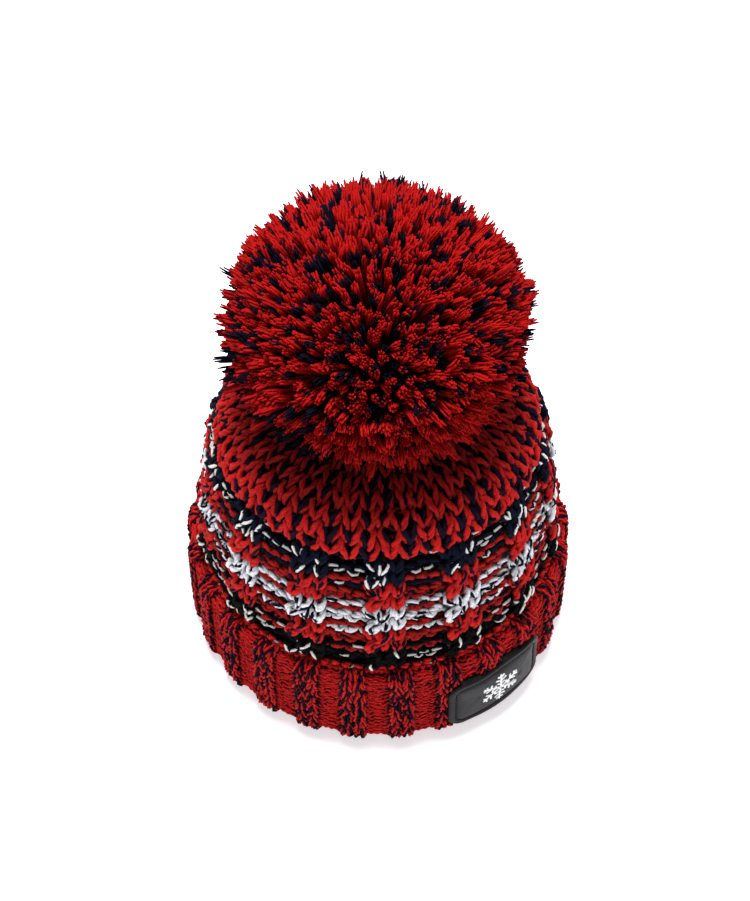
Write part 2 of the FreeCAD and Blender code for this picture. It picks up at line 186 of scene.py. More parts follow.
def yarn(name, paths, outward, radius, sides, material, closed=True, plies=1, pitch=10 * MM,
         depth=1.0, dark=BACK_LIGHT):
    """A piece made of strands. With two plies or more, each strand is plies twisted together."""
    strands = [(paths, radius)]
    if plies > 1:
        length = run_length(paths)
        turns = length[:, -1:] / pitch
        turns = np.maximum(np.round(turns), 1) if closed else turns
        twist = TAU * turns * length / length[:, -1:]
        strands = [(orbit(paths, outward, twist + TAU * ply / plies, radius * PLY_REACH, closed),
                    radius * PLY_RADIUS) for ply in range(plies)]
    parts = [sweep(path, outward, thick, sides, closed, depth, dark) for path, thick in strands]
    verts, shades, quads, uvs, caps = zip(*parts)
    starts = np.cumsum([0] + [len(v) for v in verts])
    return mesh_piece(name, material, np.concatenate(verts), np.concatenate(shades),
                      np.concatenate([q + start for q, start in zip(quads, starts)]), np.concatenate(uvs),
                      [cap + start for ends, start in zip(caps, starts) for cap in ends])


# ---- materials

CREASE_REACH = 2.2 * MM  # painted shade: yarn is painted darker where other yarn is nearer than this
CREASE_SAMPLES = 4


def new_material(name):
    material = bpy.data.materials.new(name)
    material.use_nodes = True
    tree = material.node_tree
    tree.nodes.clear()
    output = tree.nodes.new("ShaderNodeOutputMaterial")
    shader = tree.nodes.new("ShaderNodeBsdfPrincipled")
    tree.links.new(shader.outputs["BSDF"], output.inputs["Surface"])
    return material, tree, shader


def fill(tree, made, inputs):
    """Links or sets a node's inputs, given by name or number."""
    for key, value in inputs.items():
        if hasattr(value, "is_output"):
            tree.links.new(value, made.inputs[key])
        else:
            made.inputs[key].default_value = value


def node(tree, kind, output, inputs=None, **settings):
    """Adds a shader node, sets it up and gives one of its outputs."""
    made = tree.nodes.new("ShaderNode" + kind)
    for key, value in settings.items():
        setattr(made, key, value)
    fill(tree, made, inputs or {})
    return made.outputs[output]


def noise(tree, place, scale, detail, roughness, **settings):
    inputs = {"Vector": place, "Scale": scale, "Detail": detail, "Roughness": roughness}
    return node(tree, "TexNoise", "Fac", inputs, **settings)


def remap(tree, value, low, high, to_low, to_high, **settings):
    inputs = {"Value": value, "From Min": low, "From Max": high, "To Min": to_low, "To Max": to_high}
    return node(tree, "MapRange", "Result", inputs, **settings)


def two_tone(tree, factor, dark, light, low=0.0, high=1.0):
    """A colour that goes from dark to light as factor goes from low to high."""
    colour = node(tree, "ValToRGB", "Color", {"Fac": factor})
    for stop, position, tone in zip(colour.node.color_ramp.elements, (low, high), (dark, light)):
        stop.position = position
        stop.color = (*tone, 1)
    return colour


def blend(tree, factor, first, second):
    """Mixes two colours, which are the mix node's sockets 6, 7 and 2."""
    return node(tree, "Mix", 2, {0: factor, 6: first, 7: second}, data_type="RGBA")


def maths(tree, operation, first, second):
    return node(tree, "Math", "Value", {0: first, 1: second}, operation=operation)


def scaled(tree, colour, factor):
    return node(tree, "VectorMath", "Vector", {0: colour, "Scale": factor}, operation="SCALE")


def bump_normal(tree, height, strength, depth):
    return node(tree, "Bump", "Normal", {"Height": height, "Strength": strength, "Distance": depth})


def yarn_material(name, colour, shade, light, sheen=0.12, fuzz=0.35, bump=0.25, gloss=0.12, creases=0.12):
    """Plied yarn: colour drifts along the strand, with fine fibres laid along it; painted shade from the
    piece's shade attribute, from creases near other yarn and from the grooves between fibres darkens it.
    """
    material, tree, shader = new_material(name)
    yarn_map = node(tree, "UVMap", "UV", uv_map="yarn")
    drift = node(tree, "Mapping", "Vector", {"Vector": yarn_map, "Scale": (0.22, 0.8, 1.0)})
    patches = noise(tree, drift, 1.0, 2.0, 0.6, noise_dimensions="2D")
    fine = node(tree, "Mapping", "Vector", {
        "Vector": yarn_map, "Scale": (1.1, 9.0, 1.0), "Rotation": (0.0, 0.0, 0.5),
    })
    fibres = noise(tree, fine, 1.6, 3.0, 0.7, noise_dimensions="2D")
    tone = two_tone(tree, patches, shade, colour, 0.32, 0.62)
    hair = remap(tree, fibres, 0.5, 0.75, 0.0, fuzz)
    # painted shade in the grooves between fibres
    groove = remap(tree, fibres, 0.32, 0.5, 0.45, 1.0)
    # painted shade from the piece's shade attribute and, through ambient occlusion, in creases
    lit = node(tree, "Attribute", "Fac", attribute_name="shade")
    open_sky = node(tree, "AmbientOcclusion", "AO", {"Distance": CREASE_REACH}, samples=CREASE_SAMPLES)
    crease = remap(tree, open_sky, 0.1, 0.75, creases, 1.0)
    light_in = maths(tree, "MULTIPLY", maths(tree, "MULTIPLY", lit, crease), groove)
    fill(tree, shader, {
        "Base Color": scaled(tree, blend(tree, hair, tone, (*light, 1)), light_in),
        "Roughness": 0.82, "Specular IOR Level": gloss,
        "Sheen Weight": sheen, "Sheen Roughness": 0.45, "Sheen Tint": (*light, 1),
        "Normal": bump_normal(tree, fibres, bump, 0.4 * MM),
    })
    return material


RED_TONES = (0.63, 0.0085, 0.008), (0.44, 0.006, 0.0065), (0.78, 0.035, 0.026)
RED = yarn_material("red_acrylic", *RED_TONES)
# the same red as the knit, with less painted shade in its creases
CUFF_RED = yarn_material("cuff_red_acrylic", *RED_TONES, creases=0.3)
# painted shade: the knit's red, painted darker for the shade deep among the pom's strands
POM_SHADED_RED = yarn_material("pom_red_acrylic_shaded", (0.40, 0.0055, 0.005), (0.30, 0.0044, 0.004),
                        (0.47, 0.016, 0.013), sheen=0.0, gloss=0.04, creases=0.7)
NAVY = yarn_material("navy_acrylic", (0.006, 0.008, 0.022), (0.004, 0.005, 0.013),
                     (0.018, 0.023, 0.05), sheen=0.0, fuzz=0.25, gloss=0.03)
POM_NAVY = yarn_material("pom_navy_acrylic", (0.0055, 0.005, 0.013), (0.0035, 0.003, 0.008),
                         (0.014, 0.011, 0.026), sheen=0.0, fuzz=0.25, gloss=0.02, creases=0.5)
MARL_NAVY = yarn_material("marl_navy_acrylic", (0.014, 0.006, 0.018), (0.008, 0.004, 0.012),
                          (0.05, 0.014, 0.038), sheen=0.0, gloss=0.03, creases=0.4)
BLACK = yarn_material("black_acrylic", (0.0045, 0.0045, 0.005), (0.003, 0.003, 0.0035),
                      (0.014, 0.014, 0.015), sheen=0.0, fuzz=0.25, gloss=0.03)
WHITE = yarn_material("white_acrylic", (0.90, 0.90, 0.95), (0.78, 0.79, 0.87), (0.93, 0.93, 0.96))
FLECK = yarn_material("white_fleck", (0.90, 0.89, 0.86), (0.74, 0.73, 0.70), (0.94, 0.94, 0.92))
BLACK_THREAD = yarn_material("black_thread", [0.012] * 3, [0.006] * 3, [0.03] * 3, sheen=0.0, gloss=0.3)
WHITE_THREAD = yarn_material("white_thread", [0.75] * 3, [0.6] * 3, [0.85] * 3)


def cloth_material(name, dark, light, grain, bump, roughness, sheen, depth=0.3 * MM, gloss=0.3):
    """Leather, fleece, ribbon or print: two tones over a fine grain, shaded by the piece's own map."""
    material, tree, shader = new_material(name)
    place = node(tree, "TexCoord", "Object")
    cells = node(tree, "TexVoronoi", "Distance", {"Vector": place, "Scale": 1000.0 / grain})
    cloud = noise(tree, place, 400.0 / grain, 5.0, 0.65)
    tone = two_tone(tree, cloud, dark, light, 0.3, 0.7)
    fill(tree, shader, {
        "Base Color": scaled(tree, tone, node(tree, "Attribute", "Fac", attribute_name="shade")),
        "Roughness": roughness, "Specular IOR Level": gloss,
        "Sheen Weight": sheen, "Sheen Roughness": 0.5,
        "Normal": bump_normal(tree, maths(tree, "ADD", cells, cloud), bump, depth),
    })
    return material


LEATHER = cloth_material("black_faux_leather", (0.012, 0.012, 0.014), (0.022, 0.022, 0.025), 0.9, 0.35, 0.5,
                         0.0, gloss=0.1)
FLEECE = cloth_material("charcoal_fleece", (0.018, 0.018, 0.021), (0.05, 0.05, 0.056), 1.6, 0.9, 0.95, 0.35,
                        depth=0.8 * MM, gloss=0.05)
SATIN = cloth_material("woven_satin", (0.68, 0.68, 0.67), (0.82, 0.82, 0.81), 0.35, 0.3, 0.38, 0.2)
PRINT = cloth_material("white_print", [0.74] * 3, [0.86] * 3, 0.6, 0.25, 0.5, 0.0)

# ---- profiles of the hat's wall


class Profile:
    """A wall section (radius, height) that can be read by its own length."""

    def __init__(self, corners, step=0.2 * MM):
        place = run_length(corners[None])[0]
        self.length = place[-1]
        self.s = np.arange(0, self.length, step)
        self.r, self.z = (np.interp(self.s, place, corners[:, axis]) for axis in (0, 1))
        slope_r, slope_z = np.gradient(self.r, self.s), np.gradient(self.z, self.s)
        size = np.hypot(slope_r, slope_z)
        self.nr, self.nz = slope_z / size, -slope_r / size

    def at_height(self, z):
        """Length along the section where it first reaches a height."""
        return self.s[np.argmax(self.z >= z)]

    def place(self, s, angle, lift):
        """Points on the wall, raised by lift, and the outward direction there."""
        r, z, nr, nz = (np.interp(s, self.s, row) for row in (self.r, self.z, self.nr, self.nz))
        cos, sin = np.cos(angle), np.sin(angle)
        r_out, z_out = r + lift * nr, z + lift * nz
        points = np.stack([r_out * cos, r_out * sin, z_out], -1)
        return points, np.stack([nr * cos, nr * sin, nz + 0 * cos], -1)


def arc_points(centre, radius, start, end, count=40):
    angle = np.linspace(start, end, count)
    return np.stack([centre[0] + radius * np.cos(angle), centre[1] + radius * np.sin(angle)], -1)


def crown_arcs(side_radius, foot, apex, shoulder, hole):
    """The crown's section: a shoulder arc and then one large arc over the top."""
    rise, reach = apex - foot, side_radius - shoulder
    large = (reach ** 2 + rise ** 2 - shoulder ** 2) / (2 * (rise - shoulder))
    centre_z = apex - large
    meet = math.atan2(foot - centre_z, reach)
    top = math.acos(hole / large)
    return np.concatenate([
        arc_points((reach, foot), shoulder, 0.0, meet),
        arc_points((0.0, centre_z), large, meet, top)[1:],
    ])


SHOULDER = 22 * MM
CROWN_HOLE = 8 * MM  # the hole that is gathered shut
CROWN_LEAN = 1.2 * MM  # the navy stripe leans in this much more than its CAD band
BODY_SINK = 2.0 * MM  # the mid-line of the yarn lies this far inside the CAD surface
BODY = Profile(np.concatenate([
    list(zip(BAND_RADIUS[:-1], BAND_FOOT[:-1])),
    crown_arcs(BAND_RADIUS[-1] - CROWN_LEAN, BAND_FOOT[-1], CROWN_TOP, SHOULDER, CROWN_HOLE),
]) - [BODY_SINK, 0])

# ---- knitting

LEG_SWELL = 0.3  # a leg of a stitch is this much thicker where it stands out
LEG_SHADE = 0.4  # and is painted this much darker, as shade, where it runs level with the fabric
FLECK_RISE = 0.8  # a second strand is fully out where the leg's wave passes this


def blur(values, window):
    """Circular running mean along the last axis."""
    return sum(np.roll(values, k - window // 2, axis=-1) for k in range(window)) / window


class Pattern:
    """One round of stitches: how wide each is, knit (+1) or purl (-1), and how proud it stands."""

    def __init__(self, widths, faces, lifts, start, repeats=1):
        widths = np.tile(widths, repeats)
        self.width = widths * TAU / widths.sum()
        self.start = start + np.concatenate([[0], np.cumsum(self.width)[:-1]])
        self.face, self.lift = np.tile(faces, repeats), np.tile(lifts, repeats)
        self.count = len(widths)


class Course:
    """Rounds of knitting on a wall section.

    rows are lengths along the section, loop is the height of one loop, depth how far its legs
    stand out and bow how far they lean. cross, if given, moves and lifts the stitches of a cable.
    """

    def __init__(self, profile, rows, pattern, samples, loop, depth, bow=0.26, jitter=0.05, cross=None):
        t = np.arange(samples) * TAU / samples
        shape = (len(rows), pattern.count, samples)
        self.samples, self.shape = samples, (shape[0], shape[1] * samples)
        self.legs = (shape[0], shape[1] * 2)
        one = shape[:2] + (1,)
        wide = 1 + RNG.normal(0, 2 * jitter, one)
        tall = 1 + RNG.normal(0, jitter, one)
        nudge = RNG.normal(0, jitter, one) * pattern.width[:, None]
        slip = RNG.normal(0, jitter * 0.6, one) * loop
        lean = bow * wide * np.sin(2 * t)
        across = pattern.start[:, None] + nudge + pattern.width[:, None] * (t / TAU + lean)
        up = rows[:, None, None] + slip - 0.5 * loop * tall * np.cos(t)
        lift = np.broadcast_to(pattern.lift[:, None], shape)
        if cross is not None:
            turn, rise = cross(rows, up)
            across, lift = across + turn, lift + rise
        self.face = blur(self.spread(np.broadcast_to(pattern.face, shape[:2])), samples // 4)
        wave = -np.cos(2 * np.tile(t, pattern.count)) * self.face
        lift = blur(lift.reshape(self.shape), samples // 3) + depth * wave
        climb = np.arange(self.shape[1]) * TAU / self.shape[1]
        across = blur(across.reshape(self.shape) - climb, 3) + climb
        self.paths, self.outward = profile.place(up.reshape(self.shape), across, lift)
        self.wave = wave
        self.swell = 1 + LEG_SWELL * wave
        # painted shade: legs are painted darker where they dip
        self.depth = 1 - LEG_SHADE + LEG_SHADE * wave

    def spread(self, values):
        """Gives every point of a stitch (or of half a stitch) the stitch's value."""
        return np.repeat(values, self.shape[1] // values.shape[1], axis=1)

    def random_legs(self, most):
        """A random number up to most, either way, for each leg of each stitch, eased between legs."""
        legs = RNG.uniform(-most, most, self.legs)
        return blur(self.spread(legs), self.samples // 3)

    def flecks(self, chance):
        """0 where a second strand is hidden, 1 in the stitches where it shows."""
        shown = RNG.random(self.legs) < chance
        legs = self.spread(shown.astype(float))
        loops = np.roll(legs, self.samples // 4, axis=1)
        front = (self.wave / FLECK_RISE).clip(0, 1)
        return np.where(self.face > 0, legs, loops) * front

    def beside(self, outwards, sideways):
        """The same courses moved outwards and sideways by so much."""
        out, side = frames(self.paths, self.outward, True)
        return self.paths + np.asarray(outwards)[..., None] * out + sideways[..., None] * side

    def round(self, angle, reach):
        return orbit(self.paths, self.outward, angle, reach, True)


def knit_piece(name, course, paths, radius, material, sides=5, plies=1):
    # course.depth is the painted shade of the stitches
    piece = yarn(name, paths, course.outward, radius, sides, material, plies=plies, depth=course.depth)
    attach(piece, "hat")
    return piece


# the cable body: each repeat has a two-stitch cable, one column of knit and a purl panel
REPEATS = 14
CABLE_WIDE, COLUMN_WIDE, PURL_WIDE = 0.165, 0.16, 0.17
CABLE_ROWS = 2
CABLE_QUARTER = CABLE_WIDE / 2 * TAU / REPEATS
CABLE_LIFT = 1.5 * MM
# shares of a block of rows: where its stitches cross, and how far they drift before that
CROSS_START, CROSS_SPAN, CROSS_DRIFT = 0.25, 0.55, 0.15
BODY_FACES = [1, 1, 1, -1, -1, -1]
BODY_LIFTS = np.array([1.1, 1.1, 0.5, -0.8, -1.0, -0.8]) * MM
# loop height in rows, how far legs stand out, how far they lean, and points per stitch
BODY_LOOP, BODY_DEPTH, BODY_BOW, BODY_SAMPLES = 1.5, 1.1 * MM, 0.34, 20
BODY_PATTERN = Pattern([CABLE_WIDE] * 2 + [COLUMN_WIDE] + [PURL_WIDE] * 3, BODY_FACES, BODY_LIFTS,
                       TOWARDS_CAMERA - 2 * CABLE_QUARTER, REPEATS)


def cable_cross(block_start, block_length):
    """Crosses the two stitches of each cable once in a block of rows."""
    place = np.arange(BODY_PATTERN.count) % len(BODY_FACES)
    pair = ((place == 0) * 1.0 - (place == 1))[None, :, None]

    def shift(rows, up):
        early = ((rows - block_start) / block_length < 0.5)[:, None, None]
        part = ((up - block_start) / block_length).clip(0, 1)
        quick = ((part - CROSS_START) / CROSS_SPAN).clip(0, 1)
        eased = CROSS_DRIFT * part + (1 - CROSS_DRIFT) * quick * quick * (3 - 2 * quick)
        turn = 2 * CABLE_QUARTER * np.where(early, eased, 1 - eased)
        rise = CABLE_LIFT * np.sin(np.pi * part) * np.where(early, 1, -1)
        return turn * pair, rise * pair

    return shift


MAIN_RADIUS = 1.3 * MM
SECOND_RADIUS = 0.72 * MM
SECOND_HIDDEN, SECOND_SHOWN = 0.45, 0.6  # its share when hidden, and what it gains when it shows
# where the second strand lies, in main radii: outwards and sideways when it shows, outwards when hidden
SHOWN_OUT, SHOWN_ASIDE, HIDDEN_OUT = 0.9, 0.55, 0.75
SECOND_SPREAD = 1.15
# main yarn, second strand, chance that it shows on top, how far it lies beside the main yarn, and
# how light the purl panels are painted (painted shade in the recessed panels)
BAND_YARNS = {
    "black_stripe": (BLACK, FLECK, 0.48, 0.2, 0.75),
    "lower_red_band": (RED, NAVY, 0.26, 1.0, 0.62),
    "white_stripe": (WHITE, NAVY, 0.5, 1.15, 0.92),
    "upper_red_band": (RED, NAVY, 0.26, 1.0, 0.62),
    "navy_stripe": (NAVY, FLECK, 0.48, 0.2, 0.75),
}


def build_bands():
    for index, (name, (main, second, chance, beside, panel)) in enumerate(BAND_YARNS.items(), start=1):
        foot = BODY.at_height(BAND_FOOT[index])
        head = BODY.at_height(BAND_FOOT[index + 1])
        tall = (head - foot) / CABLE_ROWS
        rows = foot + tall * (np.arange(CABLE_ROWS) + 0.5)
        course = Course(BODY, rows, BODY_PATTERN, BODY_SAMPLES, BODY_LOOP * tall, BODY_DEPTH, BODY_BOW,
                        cross=cable_cross(foot, head - foot))
        # painted shade: the recessed purl panels are painted darker
        course.depth = course.depth * (1 - (1 - panel) * (1 - course.face) / 2)
        main_piece = knit_piece(name + "_yarn", course, course.paths, MAIN_RADIUS * course.swell,
                                main, plies=2)
        shown = course.flecks(chance)
        wander = np.sign(course.random_legs(1)) * 0.5 + course.random_legs(0.5)
        outwards = MAIN_RADIUS * (SHOWN_OUT * shown + (HIDDEN_OUT * beside - 1.0) * (1 - shown))
        aside = (beside * (1 - shown) + SHOWN_ASIDE * shown) * SECOND_SPREAD
        sideways = MAIN_RADIUS * blur(wander, 4) * aside
        knit_piece(name + "_flecks", course, course.beside(outwards, sideways),
                   SECOND_RADIUS * (SECOND_HIDDEN + SECOND_SHOWN * shown), second, sides=4)
        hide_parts(name)


RIDGE_STITCHES = 98
RIDGE_ROWS = np.array([0.1, 0.72])  # shares of the height from the cuff to the stripe
RIDGE_LIFT, RIDGE_LOOP, RIDGE_DEPTH = 1.1 * MM, 3.4 * MM, 1.0 * MM
RIDGE_BOW, RIDGE_JITTER, RIDGE_SAMPLES = 0.12, 0.08, 12
RIDGE_SECOND = 0.5 * MM  # radius of its navy strand, and how deep that lies
RIDGE_WANDER = 1.3  # how far, in millimetres, that strand strays to either side


def build_ridge():
    """Purl rows between the cuff and the black stripe."""
    rows = BODY.at_height(BAND_FOOT[1]) * RIDGE_ROWS
    ring = Pattern([1.0], [-1.0], [RIDGE_LIFT], 0.0, RIDGE_STITCHES)
    course = Course(BODY, rows, ring, RIDGE_SAMPLES, RIDGE_LOOP, RIDGE_DEPTH, RIDGE_BOW, RIDGE_JITTER)
    piece = knit_piece("base_red_band_yarn", course, course.paths, MAIN_RADIUS, RED, plies=2)
    thread = course.beside(-RIDGE_SECOND, course.random_legs(RIDGE_WANDER) * MM)
    knit_piece("base_red_band_flecks", course, thread, RIDGE_SECOND, NAVY, sides=4)
    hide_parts("base_red_band")


CROWN_COLUMNS = 52
CROWN_ROW = 7.4 * MM
CROWN_STRAND = 1.25 * MM
CROWN_PAIR = 0.85  # the two strands lie this far from the middle, as a share of their radius
CROWN_LOOP, CROWN_DEPTH, CROWN_BOW = 1.62, 1.6 * MM, 0.33
CROWN_JITTER, CROWN_SAMPLES = 0.1, 18
CROWN_SINK = -1.1 * MM  # the crown's plain knit is thinner than the cables below it
CROWN_END = 10 * MM  # the knitting stops this far before the gathered hole, under the pom
CROWN_TURN = -0.75  # the red strand lies on the outer side of each V, in radians from outward
CROWN_STRAY = (1.4, 0.8)  # the pair turns this much more or less, in two random shares
CROWN_SLIM, CROWN_SMALLEST = 0.7, 0.35  # yarn thins by this power of a round's size, down to this size
# painted shadow of the pom: little light gets in under it, so the crown is painted darker: this far up the
# crown, this much light is left
CROWN_SHADE_AT = np.array([0, 12, 22, 34]) * MM
CROWN_SHADES = np.array([1.0, 0.95, 0.62, 0.35])


def build_crown():
    foot = BODY.at_height(BAND_FOOT[-1])
    count = int((BODY.length - foot - CROWN_END) / CROWN_ROW)
    rows = foot + CROWN_ROW * (np.arange(count) + 0.45)
    ring = Pattern([1.0], [1.0], [CROWN_SINK], TOWARDS_CAMERA, CROWN_COLUMNS)
    course = Course(BODY, rows, ring, CROWN_SAMPLES, CROWN_LOOP * CROWN_ROW, CROWN_DEPTH, CROWN_BOW,
                    CROWN_JITTER)
    # painted shadow of the pom over the upper crown
    course.depth = course.depth * np.interp(rows - foot, CROWN_SHADE_AT, CROWN_SHADES)[:, None]
    small = np.interp(rows, BODY.s, BODY.r) / BAND_RADIUS[-1]
    slim = np.clip(small, CROWN_SMALLEST, 1.0)[:, None] ** CROWN_SLIM
    angle = CROWN_TURN + sum(course.random_legs(most) for most in CROWN_STRAY)
    reach = CROWN_STRAND * CROWN_PAIR * slim * np.ones(course.shape)
    red = knit_piece("crown_red_yarn", course, course.round(angle, reach),
                     CROWN_STRAND * slim * course.swell, RED, plies=2)
    knit_piece("crown_navy_yarn", course, course.round(angle + math.pi, reach),
               CROWN_STRAND * 0.95 * slim * course.swell, MARL_NAVY, plies=2)
    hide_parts("crown_knit")


# ---- rib cuff

RIBS = 25
RIB_FACES = [1, 1, -1, -1]
RIB_WIDTHS = [1.0, 1.0, 0.95, 0.95]
RIB_LIFTS = np.array([1.0, 1.0, -1.2, -1.2]) * MM
RIB_START = TOWARDS_CAMERA + 0.06
CUFF_SINK = 1.7 * MM
CUFF_ROW = 3.05 * MM
CUFF_LOOP, CUFF_DEPTH, CUFF_BOW = 1.65, 0.85 * MM, 0.29  # loop height in rows
CUFF_JITTER, CUFF_SAMPLES = 0.08, 12
CUFF_STRAND = 0.55 * MM
CUFF_SPREAD = 1.25  # the three strands lie this far from the middle, in strand radii
CUFF_APART = 2.1  # radians from the navy strand to each red one
CUFF_NAVY_TURN, CUFF_NAVY_STRAY = 2.3, 1.2  # in purl the navy strand lies this far round, give or take
CUFF_STRAY = (2.6, 1.0)  # and in knit it turns this much either way, in two random shares
CUFF_FOLD = 6 * MM
CUFF_EDGE = 2.6 * MM
CUFF_INNER_TOP = 22 * MM


def cuff_profile():
    """From inside the hat, round the fold at the table, up the outside and over the top edge."""
    outer, inner = CUFF_RADIUS - CUFF_SINK, CUFF_RADIUS - 2 * CUFF_FOLD + CUFF_SINK
    fold = (outer - inner) / 2
    edge_z = CUFF_TOP - CUFF_SINK - CUFF_EDGE
    return Profile(np.concatenate([
        [(inner, CUFF_INNER_TOP)],
        arc_points((inner + fold, CUFF_FOLD + 1.2 * MM), fold, -math.pi, 0.0),
        arc_points((outer - CUFF_EDGE, edge_z), CUFF_EDGE, 0.0, 0.9 * math.pi),
    ]))


def build_cuff():
    section = cuff_profile()
    # the rows are evenly spaced on the face of the knitting, which is longer than its mid-line
    face_r, face_z = section.r + CUFF_SINK * section.nr, section.z + CUFF_SINK * section.nz
    face = np.concatenate([[0], np.cumsum(np.hypot(np.diff(face_r), np.diff(face_z)))])
    count = int(face[-1] / CUFF_ROW)
    rows = np.interp(CUFF_ROW * (np.arange(count) + 0.5), face, section.s)
    loop = CUFF_LOOP * np.gradient(rows)[:, None, None]
    ring = Pattern(RIB_WIDTHS, RIB_FACES, RIB_LIFTS, RIB_START, RIBS)
    course = Course(section, rows, ring, CUFF_SAMPLES, -loop, CUFF_DEPTH, CUFF_BOW, CUFF_JITTER)
    purl = (1 - course.face) / 2
    knit_angle = sum(course.random_legs(most) for most in CUFF_STRAY)
    purl_angle = CUFF_NAVY_TURN + course.random_legs(CUFF_NAVY_STRAY)
    navy_angle = purl * purl_angle + (1 - purl) * knit_angle
    strands = ((0.0, MARL_NAVY), (CUFF_APART, CUFF_RED), (-CUFF_APART, CUFF_RED))
    halves = (("low", slice(0, count // 2)), ("high", slice(count // 2, count)))
    for number, (turn, material) in enumerate(strands, start=1):
        paths = course.round(navy_angle + turn, CUFF_STRAND * CUFF_SPREAD)
        for part, kept in halves:
            # painted shade of the stitches where their legs dip
            piece = yarn(f"rib_cuff_strand_{number}_{part}", paths[kept], course.outward[kept],
                         CUFF_STRAND * 1.1, 4, material, depth=course.depth[kept])
            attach(piece, "hat")
    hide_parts("rib_cuff")


# ---- pom

POM_STRANDS = 4700
POM_NAVY_SHARE, POM_NAVY_GAP = 0.27, 3.6 * MM
POM_PLIES, POM_PLY_RADIUS = 5, 0.6 * MM
POM_NAVY_SLIM = 0.82
POM_ROUGH = 1.5 * MM  # the ends miss the pom's smooth surface by about this
POM_ROOT = TIE_HEIGHT - 14 * MM  # the strands fan out from here, low in the tie
POM_LENGTH = 0.94  # of a strand, as a share of the way to the surface
POM_UNEVEN, POM_TRIM = 0.016, 0.014  # spread in that, from strand to strand and ply to ply
POM_CLUMP, POM_LEAN = 3.6 * MM, 3.0 * MM  # how far tufts, and single strands, lean at their tips
POM_DROOP = 0.05
POM_TWIST = 5.0  # radians that the plies turn on their way out
POM_LOOSE, POM_FRAY = 0.72 * MM, 0.5 * MM  # how far plies lie apart, and how much more at their tips
# along a strand: share of its length, light that gets in (painted shade, darker towards the root), and
# thickness
POM_SHARES = np.array([0.45, 0.66, 0.8, 0.89, 0.95, 1.0])
POM_SHADES = np.array([0.35, 0.52, 0.72, 0.86, 0.9, 0.86])
POM_TAPER = np.array([0.9, 1.0, 1.1, 1.2, 1.2, 0.7])


def pom_surface(count):
    """Points spread evenly over the pom's flattened ball."""
    index = np.arange(count) + 0.5
    height = 1 - 2 * index / count
    around = index * math.pi * (1 + 5 ** 0.5)
    flat = np.sqrt(1 - height ** 2)
    middle, rise = (POM_HIGH.z + POM_LOW.z) / 2, (POM_HIGH.z - POM_LOW.z) / 2
    ball = np.stack([flat * np.cos(around), flat * np.sin(around), height], -1)
    ball = ball * [POM_HIGH.x, POM_HIGH.x, rise] + [0, 0, middle]
    return ball + RNG.normal(0, POM_ROUGH, ball.shape)


def clumps(headings, size):
    """A smooth sideways push that neighbouring tufts share."""
    push = np.zeros_like(headings)
    for _ in range(14):
        wave, turn = RNG.normal(0, 5.0, 3), RNG.uniform(0, TAU)
        push += np.sin(headings @ wave + turn)[:, None] * RNG.normal(0, 1, 3)
    return push * size / 3.5


def pom_tufts(tips):
    """Plies of every yarn end: they leave the tie, run out, lean on each other and fray."""
    count = len(tips)
    root = np.array([0.0, 0.0, POM_ROOT])
    reach = tips - root
    uneven = np.clip(RNG.normal(0, POM_UNEVEN, (count, 1)), -0.05, 0.02)
    length = np.linalg.norm(reach, axis=1, keepdims=True) * (POM_LENGTH + uneven)
    ahead = unit(reach)
    share = POM_SHARES[None, :, None]
    lean = clumps(ahead, POM_CLUMP)[:, None] * share ** 2
    lean = lean + RNG.normal(0, POM_LEAN, (count, 1, 3)) * share ** 5
    lean = lean - (lean * ahead[:, None]).sum(-1, keepdims=True) * ahead[:, None]
    centre = root + ahead[:, None] * length[:, None] * share + lean
    droop = POM_DROOP * np.sqrt(1 - ahead[:, 2:] ** 2) * length
    centre[..., 2] -= droop * share[..., 0] ** 3
    bend = unit(np.cross(ahead, RNG.normal(size=(count, 3))))
    side = np.cross(ahead, bend)
    phase = RNG.uniform(0, TAU, (count, 1, 1))
    paths = []
    for ply in range(POM_PLIES):
        fray = RNG.uniform(0.0, POM_FRAY / MM, (count, 1, 1)) * MM
        angle = phase + TAU * ply / POM_PLIES + POM_TWIST * share
        out = POM_LOOSE + fray * np.clip((share - 0.8) / 0.2, 0, 1) ** 1.5
        trim = 1 + RNG.normal(0, POM_TRIM, (count, 1, 1)) * share ** 6
        plies = centre + out * (np.cos(angle) * bend[:, None] + np.sin(angle) * side[:, None])
        paths.append(root + (plies - root) * trim)
    outward = np.tile(bend[:, None], (POM_PLIES, len(POM_SHARES), 1))
    return np.concatenate(paths), outward


def scattered(points, share, gap):
    """Marks a share of the points, no two of them closer than gap."""
    chosen = np.zeros(len(points), bool)
    for index in RNG.permutation(len(points)):
        near = np.linalg.norm(points[chosen] - points[index], axis=1)
        if len(near) < share * len(points) and (near > gap).all():
            chosen[index] = True
    return chosen


def build_pom():
    tips = pom_surface(POM_STRANDS)
    navy = scattered(tips, POM_NAVY_SHARE, POM_NAVY_GAP)
    groups = []
    for colour, mask, count in (("red", ~navy, 4), ("navy", navy, 2)):
        chosen = np.array_split(RNG.permutation(np.flatnonzero(mask)), count)
        groups += [(f"pom_{colour}_yarn_{number}", tips[which]) for number, which in enumerate(chosen, 1)]
    for name, ends in groups:
        paths, outward = pom_tufts(ends)
        material, slim = (POM_NAVY, POM_NAVY_SLIM) if "navy" in name else (POM_SHADED_RED, 1.0)
        # painted shade: darker towards each strand's root, with none painted round the strand
        piece = yarn(name, paths, outward, POM_TAPER[None] * (POM_PLY_RADIUS * slim), 3, material,
                     closed=False, depth=POM_SHADES[None], dark=1.0)
        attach(piece, "pom")
    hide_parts("pom_yarn_bundle")


# ---- patch

